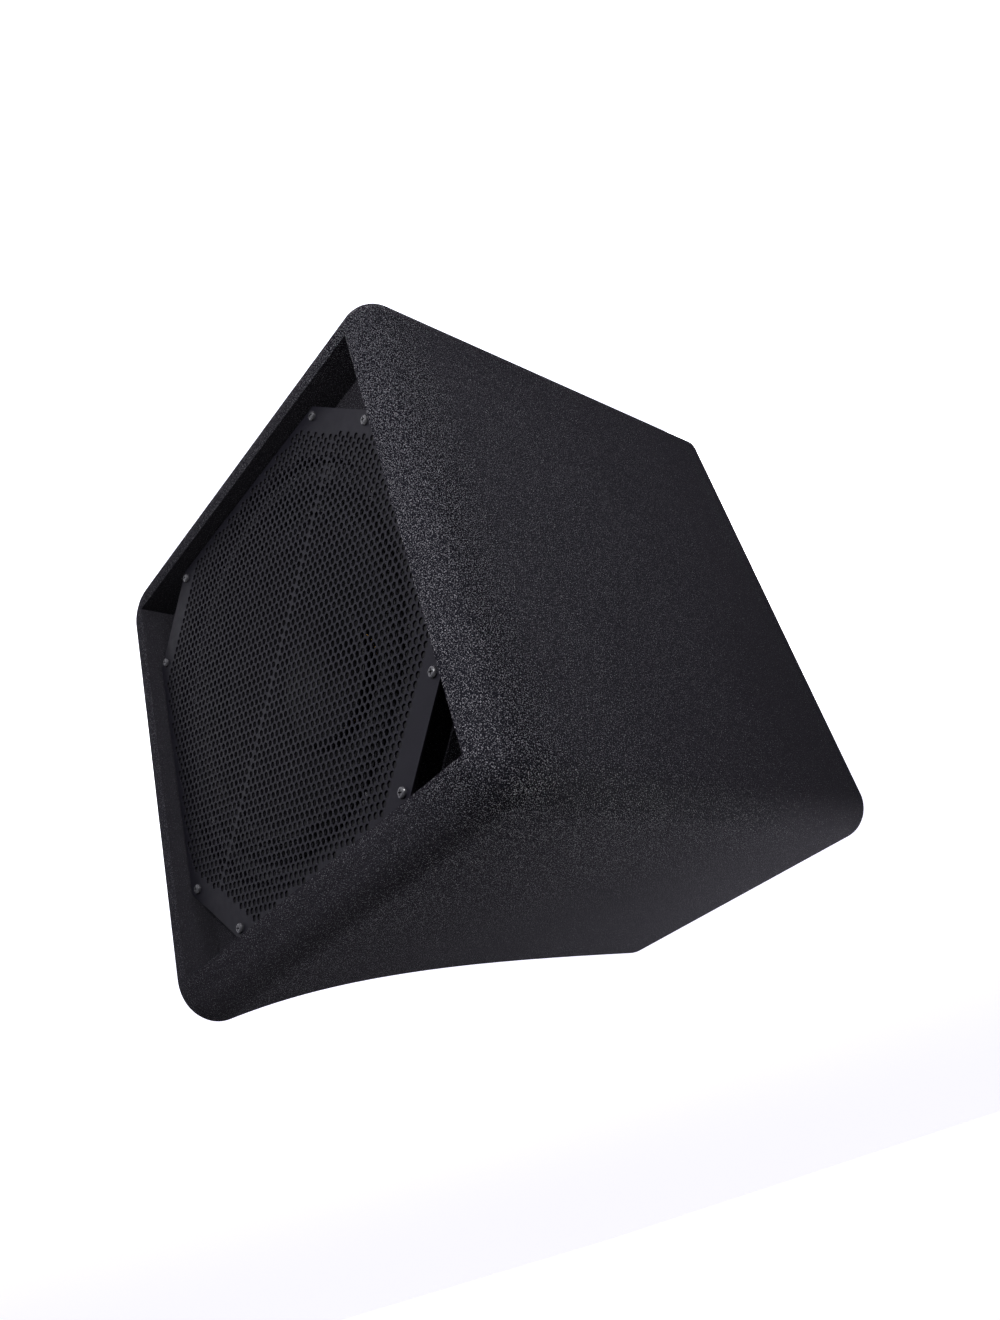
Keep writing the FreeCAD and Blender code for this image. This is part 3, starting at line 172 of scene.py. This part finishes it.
def coating(name, tone=1.0):
    """Sprayed polyurea: fused black droplets, about a millimetre across, with light specks whose painted
    glints are strongest at the front; a tone below one makes a darker copy, painted shade.
    """
    m = Nodes(name)
    drops = m.cells(DROPS)
    lumps = m.noise(LUMPS, 2.0, 0.65)
    grit = m.noise(GRIT, 1.0, 0.5)
    # Relief: the crowns of the droplets under finer lumps.
    crown = m.spread(drops, 0.05, 0.6, 1.0, 0.0)
    height = m.math("ADD", m.math("MULTIPLY", crown, 0.6), m.math("MULTIPLY", lumps, 1.2))
    normal = m.bump(height, 1.0, DROP_RELIEF)
    normal = m.bump(grit, 0.5, GRIT_RELIEF, normal)
    # Painted glints: light specks where the lumps stand high and the grit catches, painted strongest at the
    # front edge.
    tops = m.spread(m.math("ADD", m.math("MULTIPLY", crown, 0.25), lumps), 0.54, 0.82, 0.0, 1.0)
    fleck = m.spread(grit, 0.46, 0.62, 0.0, 1.0)
    grain_and_glint_specks = m.math("MULTIPLY", tops, fleck)
    # Painted highlight by position: the specks' contrast rises broadly towards the front and most on the
    # rounded front edge, where the keys rake the coat.
    front = m.along(PAINTED_GLINT_AXIS)
    painted_glint_broad = m.spread(front, -0.02, 0.20, 0.12, 0.42)
    painted_glint_edge = m.spread(front, 0.215, 0.25, 0.0, 0.5)
    painted_glint_lift = m.math("MULTIPLY", m.math("ADD", painted_glint_broad, painted_glint_edge), m.math("SUBTRACT", grain_and_glint_specks, CALM))
    patches = m.spread(m.noise(7.0, 2.0), 0.3, 0.7, 0.88, 1.0)
    painted_glint_and_tone = m.math("MULTIPLY", m.math("ADD", painted_glint_lift, CALM), patches)
    # The colour runs from the dark coat to the light specks with their painted glints; roughness and
    # specular level follow it.
    colour = m.mix(painted_glint_and_tone, [v * tone for v in COAT_DARK], [v * tone for v in COAT_GRAIN_AND_GLINT])
    rough = m.spread(painted_glint_and_tone, 0.0, 0.6, 0.52, 0.22)
    gloss = m.spread(painted_glint_and_tone, 0.08, 0.6, 0.0, 0.32)
    return m.finish(Base_Color=colour, Roughness=rough, Normal=normal, Specular_IOR_Level=gloss)


def satin_paint(name, colour, rough=0.42, spec=0.5):
    """Powder coat on sheet steel: a faint orange peel and slight roughness changes."""
    m = Nodes(name)
    peel = m.noise(900.0, 2.0)
    normal = m.bump(peel, 0.18, 0.0001)
    wear = m.spread(m.noise(60.0, 4.0), 0.35, 0.7, 0.0, 1.0)
    colour_out = m.mix(wear, colour, [v * 1.25 for v in colour])
    roughness = m.spread(m.noise(120.0), 0.3, 0.7, rough - 0.05, rough + 0.07)
    return m.finish(Base_Color=colour_out, Roughness=roughness, Normal=normal, Specular_IOR_Level=spec)


def metal(name, colour, rough=0.32, scale=500.0):
    """Bare or plated metal, a little worn in patches."""
    m = Nodes(name)
    wear = m.spread(m.noise(45.0, 4.0), 0.35, 0.7, 0.0, 1.0)
    colour_out = m.mix(wear, [v * 0.75 for v in colour], colour)
    roughness = m.spread(m.noise(scale), 0.3, 0.7, rough - 0.08, rough + 0.1)
    return m.finish(Base_Color=colour_out, Metallic=1.0, Roughness=roughness,
                    Normal=m.bump(m.noise(scale * 3.0), 0.1, 0.00006))


def plastic(name, colour, rough=0.45, scale=800.0, bump=0.15, spec=0.5):
    """Moulded plastic, rubber, paper or felt: a fine grain at the given scale."""
    m = Nodes(name)
    tone = m.spread(m.noise(30.0, 4.0), 0.35, 0.7, 0.0, 1.0)
    colour_out = m.mix(tone, [v * 0.8 for v in colour], colour)
    roughness = m.spread(m.noise(180.0), 0.3, 0.7, rough - 0.07, rough + 0.08)
    return m.finish(Base_Color=colour_out, Roughness=roughness, Specular_IOR_Level=spec,
                    Normal=m.bump(m.noise(scale), bump, 0.0001))


def wood(name):
    """Birch plywood edges and battens: long streaks along one axis."""
    m = Nodes(name)
    stretch = m.add("ShaderNodeMapping", Vector=m.coords)
    stretch.inputs["Scale"].default_value = (1.0, 1.0, 0.06)
    streak = m.add("ShaderNodeTexNoise", Vector=stretch.outputs["Vector"],
                   Scale=260.0, Detail=4.0, Roughness=0.6)
    fac = m.spread(streak.outputs["Fac"], 0.3, 0.7, 0.0, 1.0)
    return m.finish(Base_Color=m.mix(fac, (0.33, 0.21, 0.1), (0.58, 0.42, 0.24)), Roughness=0.62,
                    Normal=m.bump(streak.outputs["Fac"], 0.25, 0.0002))


# Each finish. After its colour, a paint takes its roughness and specular level, a metal its roughness and
# grain scale, and a plastic its roughness, grain scale, grain depth and specular level.
MATERIALS = {
    "coat": coating("sprayed_coating"),
    # A darker copy of the coat, painted shade, for the rails, baffle and frame inside the mouth.
    "coat_painted_shade": coating("sprayed_coating_painted_shade", 0.8),
    "panel": plastic("painted_panel", (0.012, 0.012, 0.014), 0.6, 500.0, 0.3),
    "wood": wood("birch_ply"),
    "grille": satin_paint("grille_powder_coat", (0.0018, 0.0017, 0.0025), 0.42, 0.03),
    "screw": satin_paint("black_screw_finish", (0.008, 0.008, 0.009), 0.2, 0.25),
    "zinc": metal("zinc_plate", (0.62, 0.62, 0.64)),
    "cast": satin_paint("cast_frame_paint", (0.004, 0.004, 0.0045), 0.6, 0.1),
    "ferrite": plastic("ferrite", (0.03, 0.03, 0.032), 0.7),
    "cone": plastic("coated_paper", (0.0022, 0.0022, 0.0025), 0.9, 1400.0, 0.4, 0.05),
    "cloth": plastic("doped_cloth", (0.0022, 0.0022, 0.0025), 0.8, 2000.0, 0.5, 0.08),
    "film": plastic("former_film", (0.4, 0.22, 0.06), 0.4),
    "copper": metal("enamelled_copper", (0.75, 0.34, 0.16), 0.3, 1500.0),
    "horn": plastic("horn_plastic", (0.0025, 0.0025, 0.0028), 0.7, 800.0, 0.15, 0.08),
    "dome": metal("dome_titanium", (0.6, 0.6, 0.62), 0.25),
    "foam": plastic("closed_cell_foam", (0.003, 0.003, 0.0034), 0.95, 1200.0, 0.6, 0.05),
    "rubber": plastic("black_rubber", (0.014, 0.014, 0.015), 0.75, 900.0, 0.3),
    "board": plastic("board_laminate", (0.03, 0.12, 0.05), 0.4),
    "can": plastic("capacitor_sleeve", (0.4, 0.27, 0.03), 0.3),
    "ceramic": plastic("resistor_ceramic", (0.7, 0.68, 0.62), 0.8, 700.0, 0.3),
    "tray": satin_paint("tray_paint", (0.014, 0.014, 0.016), 0.48, 0.45),
    "socket": plastic("socket_plastic", (0.012, 0.013, 0.022), 0.4),
    "switch": plastic("switch_plastic", (0.010, 0.010, 0.010), 0.25),
    "felt": plastic("polyester_felt", (0.55, 0.55, 0.5), 0.95, 600.0, 0.9),
}
# Which nodes have which finish.
LOOK = {
    "coat": "side_panel_flat end_panel_top end_panel_bottom side_panel_curved lip_rail",
    # The parts inside the mouth take the darker copy of the coat, painted shade.
    "coat_painted_shade": "mouth_rail_top mouth_rail_bottom baffle grille_frame",
    "panel": "back_panel port_board_flat port_board_curved corner_block_flat corner_block_curved",
    "wood": "cleat_flat cleat_top cleat_bottom cleat_curved",
    "grille": "grille",
    "screw": "grille_screws driver_bolts socket_screws tray_screws back_screws",
    "zinc": "grille_inserts top_plate back_plate hf_body driver_tnuts board_stand_offs foot_screws",
    "cast": "basket hf_cover",
    "ferrite": "magnet",
    "cone": "cone",
    "cloth": "surround spider",
    "film": "coil_former",
    "copper": "coil_winding crossover_coils",
    "horn": "hf_horn terminal_block",
    "dome": "hf_diaphragm",
    "foam": "grille_gasket driver_gasket",
    "rubber": "rubber_feet handle_grip internal_leads",
    "board": "crossover_board",
    "can": "crossover_capacitors",
    "ceramic": "crossover_resistors",
    "tray": "input_dish handle_cup",
    "socket": "input_sockets",
    "switch": "switch_frame switch_rocker",
    "felt": "acoustic_lining",
}
for look, names in LOOK.items():
    for name in names.split():
        mesh = NODES[name].data
        mesh.materials.clear()
        mesh.materials.append(MATERIALS[look])


# ---------------------------------------------------------------- perforated grille

# The octagon's half sizes, and the sum of both coordinates on its corner cuts, in millimetres.
HALF_X = 168.5
HALF_Z = 166.0
CHAMFER_SUM = 272.9
SHEET = 1.2
# The fold: how far it lies behind the front rim, how much the sheet drops over a span, and where it runs.
CREASE_DEPTH = 12.0
CREASE_DROP = 1.8
DROP_SPAN = 195.0
CREASE_ANGLE = math.radians(44.2)
CREASE_SHIFT = 4.2
# Holes: spacing, radius, and the rounded rim that the punch leaves.
PITCH = 6.35
HOLE_R = 2.42
RIM = 0.14
HOLE_SIDES = 16
PATTERN_REACH = 300.0
# Plain margins beside the fold, along the long edges and along the corner cuts.
CREASE_CLEAR = 3.6
EDGE_MARGIN = 4.6
FLANGE_MARGIN = 18.4
# Two screws at each corner cut.
SCREW_FAR = 157.8
SCREW_NEAR = 104.6
SCREW_HOLE = 2.3
# The triangulation's output mode: triangles inside the outline, with the holes left open.
INSIDE_WITH_HOLES = 2

along = Vector((math.cos(CREASE_ANGLE), math.sin(CREASE_ANGLE)))
across = Vector((-math.sin(CREASE_ANGLE), math.cos(CREASE_ANGLE)))


def octagon(half_x, half_z, total):
    near_x = total - half_z
    near_z = total - half_x
    corners = [(half_x, -near_z), (half_x, near_z), (near_x, half_z), (-near_x, half_z),
               (-half_x, near_z), (-half_x, -near_z), (-near_x, -half_z), (near_x, -half_z)]
    return [Vector(c) for c in corners]


def fold_side(point):
    """Signed distance from the fold's line."""
    return point.dot(across) + CREASE_SHIFT


def half_outline(side):
    """The part of the octagon on one side of the fold, as a loop of points."""
    corners = octagon(HALF_X, HALF_Z, CHAMFER_SUM)
    loop = []
    for a, b in zip(corners, corners[1:] + corners[:1]):
        fa, fb = fold_side(a) * side, fold_side(b) * side
        if fa >= 0.0:
            loop.append(a)
        if (fa < 0.0) != (fb < 0.0):
            loop.append(a.lerp(b, fa / (fa - fb)))
    return loop


def hole_centres(side):
    """Staggered rows parallel to the fold, kept clear of the plain margins."""
    centres = []
    row_step = PITCH * math.sqrt(0.75)
    rows = int(PATTERN_REACH / row_step)
    columns = int(PATTERN_REACH / PITCH)
    for row in range(rows):
        away = side * (CREASE_CLEAR + row * row_step) - CREASE_SHIFT
        stagger = 0.5 * PITCH * (row % 2)
        for column in range(-columns, columns + 1):
            spot = across * away + along * (column * PITCH + stagger)
            inside_x = abs(spot.x) < HALF_X - EDGE_MARGIN
            inside_z = abs(spot.y) < HALF_Z - EDGE_MARGIN
            inside_chamfer = abs(spot.x) + abs(spot.y) < CHAMFER_SUM - FLANGE_MARGIN * math.sqrt(2.0)
            if inside_x and inside_z and inside_chamfer:
                centres.append(spot)
    return centres


def screw_spots(side):
    spots = []
    for sx in (-1, 1):
        for sz in (-1, 1):
            spots.append(Vector((sx * SCREW_NEAR, sz * SCREW_FAR)))
            spots.append(Vector((sx * SCREW_FAR, sz * SCREW_NEAR)))
    return [s for s in spots if fold_side(s) * side > 0.0]


def in_part(point, depth):
    """A point of the flat pattern, at a depth below the sheet's face, in the part's frame."""
    rise = abs(fold_side(point)) * CREASE_DROP / DROP_SPAN
    y = FRONT_Y + CREASE_DEPTH - rise + depth
    return Vector((point.x, y, MID_Z + point.y)) * MM


def cut_pattern(side, rings):
    """The flat pattern on one side of the fold: its points, triangles, their sources and the input loops."""
    flat = half_outline(side)
    loops = [list(range(len(flat)))]
    for centre, radius in rings:
        first = len(flat)
        for k in range(HOLE_SIDES):
            turn = 2.0 * math.pi * k / HOLE_SIDES
            flat.append(centre + Vector((math.cos(turn), math.sin(turn))) * (radius + RIM))
        loops.append(list(range(first, first + HOLE_SIDES)))
    cut = delaunay_2d_cdt(flat, [], loops, INSIDE_WITH_HOLES, 1e-5)
    return cut[0], cut[2], cut[3], loops


def sheet_levels(bm, points, sources, loops, rings):
    """Vertices of the front face, of the foot of the rims and of the back face."""
    owner = {}
    for ring, loop in zip(rings, loops[1:]):
        for index in loop:
            owner[index] = ring
    levels = []
    for depth in (0.0, RIM, SHEET):
        level = []
        for point, source in zip(points, sources):
            ring = owner.get(source[0]) if source else None
            if ring and depth:
                centre, radius = ring
                point = centre + (point - centre).normalized() * radius
            level.append(bm.verts.new(in_part(point, depth)))
        levels.append(level)
    return levels


def close_walls(bm, levels, points, sources, loops):
    """The sheet's outer edge and the walls of its holes; the two halves meet at the fold without a wall."""
    front, middle, back = levels
    where = {s: index for index, source in enumerate(sources) for s in source}
    for number, loop in enumerate(loops):
        for here, there in zip(loop, loop[1:] + loop[:1]):
            a, b = where[here], where[there]
            if number:
                bm.faces.new((front[b], middle[b], middle[a], front[a]))
                bm.faces.new((middle[b], back[b], back[a], middle[a]))
            elif abs(fold_side(points[a])) >= 1e-3 or abs(fold_side(points[b])) >= 1e-3:
                bm.faces.new((front[a], back[a], back[b], front[b]))


def grille_half(bm, side):
    rings = [(c, HOLE_R) for c in hole_centres(side)] + [(c, SCREW_HOLE) for c in screw_spots(side)]
    points, faces, sources, loops = cut_pattern(side, rings)
    levels = sheet_levels(bm, points, sources, loops, rings)
    front, middle, back = levels
    first, second, third = [points[i] for i in faces[0][:3]]
    flip = (second - first).cross(third - second) < 0
    for face in faces:
        order = list(reversed(face)) if flip else list(face)
        bm.faces.new([front[i] for i in order])
        bm.faces.new([back[i] for i in reversed(order)])
    close_walls(bm, levels, points, sources, loops)
    bmesh.ops.delete(bm, geom=[v for v in middle if not v.link_faces], context="VERTS")


def build_grille():
    """The perforated sheet, in place of the plain CAD sheet."""
    bm = bmesh.new()
    for side in (-1, 1):
        grille_half(bm, side)
    bmesh.ops.remove_doubles(bm, verts=bm.verts, dist=1e-7)
    bmesh.ops.recalc_face_normals(bm, faces=bm.faces)
    mesh = bpy.data.meshes.new("perforated_grille")
    bm.to_mesh(mesh)
    bm.free()
    grille = bpy.data.objects.new("perforated_grille", mesh)
    SCENE.collection.objects.link(grille)
    mesh.materials.append(MATERIALS["grille"])
    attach(grille, "cabinet")
    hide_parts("grille")


build_grille()

# ---------------------------------------------------------------- floor, light, camera

# The studio's white, and the line along which the floor's own glow fades behind the cabinet.
GLOW = (0.965, 0.955, 1.12)
FLOOR_REACH = 40.0
FADE_AXIS = (-0.8958, 0.4444, 0.0)

floor_material = Nodes("pale_floor")
glow = floor_material.spread(floor_material.along(FADE_AXIS), 0.62, 1.15, 0.9, 0.3)
floor_material.finish(
    Base_Color=floor_material.mix(floor_material.noise(3.0, 3.0), (0.80, 0.80, 0.805), (0.84, 0.84, 0.84)),
    Roughness=0.8, Specular_IOR_Level=0.1, Emission_Color=(*GLOW, 1.0), Emission_Strength=glow)
floor_mesh = bpy.data.meshes.new("floor")
floor_mesh.from_pydata(
    [(-FLOOR_REACH, -FLOOR_REACH, 0), (FLOOR_REACH, -FLOOR_REACH, 0),
     (FLOOR_REACH, FLOOR_REACH, 0), (-FLOOR_REACH, FLOOR_REACH, 0)], [], [(0, 1, 2, 3)])
floor_mesh.materials.append(floor_material.material)
floor = bpy.data.objects.new("floor", floor_mesh)
SCENE.collection.objects.link(floor)
floor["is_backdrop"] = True


def soft_light(name, place, target, side, power):
    """A square area light, aimed at a target."""
    data = bpy.data.lights.new(name, "AREA")
    data.shape = "RECTANGLE"
    data.size = data.size_y = side
    data.energy = power
    lamp = bpy.data.objects.new(name, data)
    lamp.location = place
    lamp.rotation_euler = (Vector(target) - Vector(place)).to_track_quat("-Z", "Y").to_euler()
    SCENE.collection.objects.link(lamp)


# Places and sides in metres, power in watts. The keys rake the rounded front edge; the fills light the top.
FRONT_EDGE = (-0.19, -0.17, 0.36)
soft_light("overhead", (0.2, 0.2, 4.0), (0.2, 0.2, 0.0), 5.0, 70.0)
soft_light("front_key", (-0.42, -0.84, 0.16), FRONT_EDGE, 0.10, 25.0)
soft_light("low_key", (-0.80, -0.34, 0.05), FRONT_EDGE, 0.10, 5.0)
soft_light("top_fill", (-0.14, 0.42, 0.80), (-0.12, 0.15, 0.42), 0.30, 18.0)
soft_light("far_fill", (0.80, -0.20, 0.90), (0.10, -0.10, 0.42), 0.5, 5.0)

# A white band round the horizon under a dim ceiling: height above the horizon against brightness.
BAND_TOP, CEILING_START = 0.12, 0.34
BAND_LEVEL, CEILING_LEVEL = 1.08, 0.04
world = bpy.data.worlds.new("studio")
world.use_nodes = True
sky = world.node_tree.nodes
sky_links = world.node_tree.links
direction = sky.new("ShaderNodeTexCoord")
split = sky.new("ShaderNodeSeparateXYZ")
band = sky.new("ShaderNodeMapRange")
sky_links.new(direction.outputs["Generated"], split.inputs["Vector"])
sky_links.new(split.outputs["Z"], band.inputs["Value"])
band.inputs["From Min"].default_value = BAND_TOP
band.inputs["From Max"].default_value = CEILING_START
band.inputs["To Min"].default_value = BAND_LEVEL
band.inputs["To Max"].default_value = CEILING_LEVEL
background = sky["Background"]
background.inputs["Color"].default_value = (*GLOW, 1.0)
sky_links.new(band.outputs["Result"], background.inputs["Strength"])
SCENE.world = world

# The camera, with its place in millimetres and its own axes. It is rolled, as the photograph's view is.
EYE = Vector((-556.65, -563.23, 637.84)) * MM
RIGHT = Vector((-0.61385, 0.74458, 0.26229)).normalized()
AHEAD = Vector((0.58014, 0.65081, -0.48977)).normalized()
UP = RIGHT.cross(AHEAD).normalized()
camera_data = bpy.data.cameras.new("camera")
camera_data.sensor_width = 36.0
camera_data.lens = 29.14
camera_data.clip_start = 0.01
camera_data.shift_x = -0.0008
camera_data.shift_y = 0.0004
camera = bpy.data.objects.new("camera", camera_data)
camera.matrix_world = Matrix((
    (RIGHT.x, UP.x, -AHEAD.x, EYE.x),
    (RIGHT.y, UP.y, -AHEAD.y, EYE.y),
    (RIGHT.z, UP.z, -AHEAD.z, EYE.z),
    (0.0, 0.0, 0.0, 1.0),
))
SCENE.collection.objects.link(camera)
SCENE.camera = camera
SCENE.view_settings.view_transform = "Standard"

{"start": plain(start_bounds), "end": plain(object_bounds())}
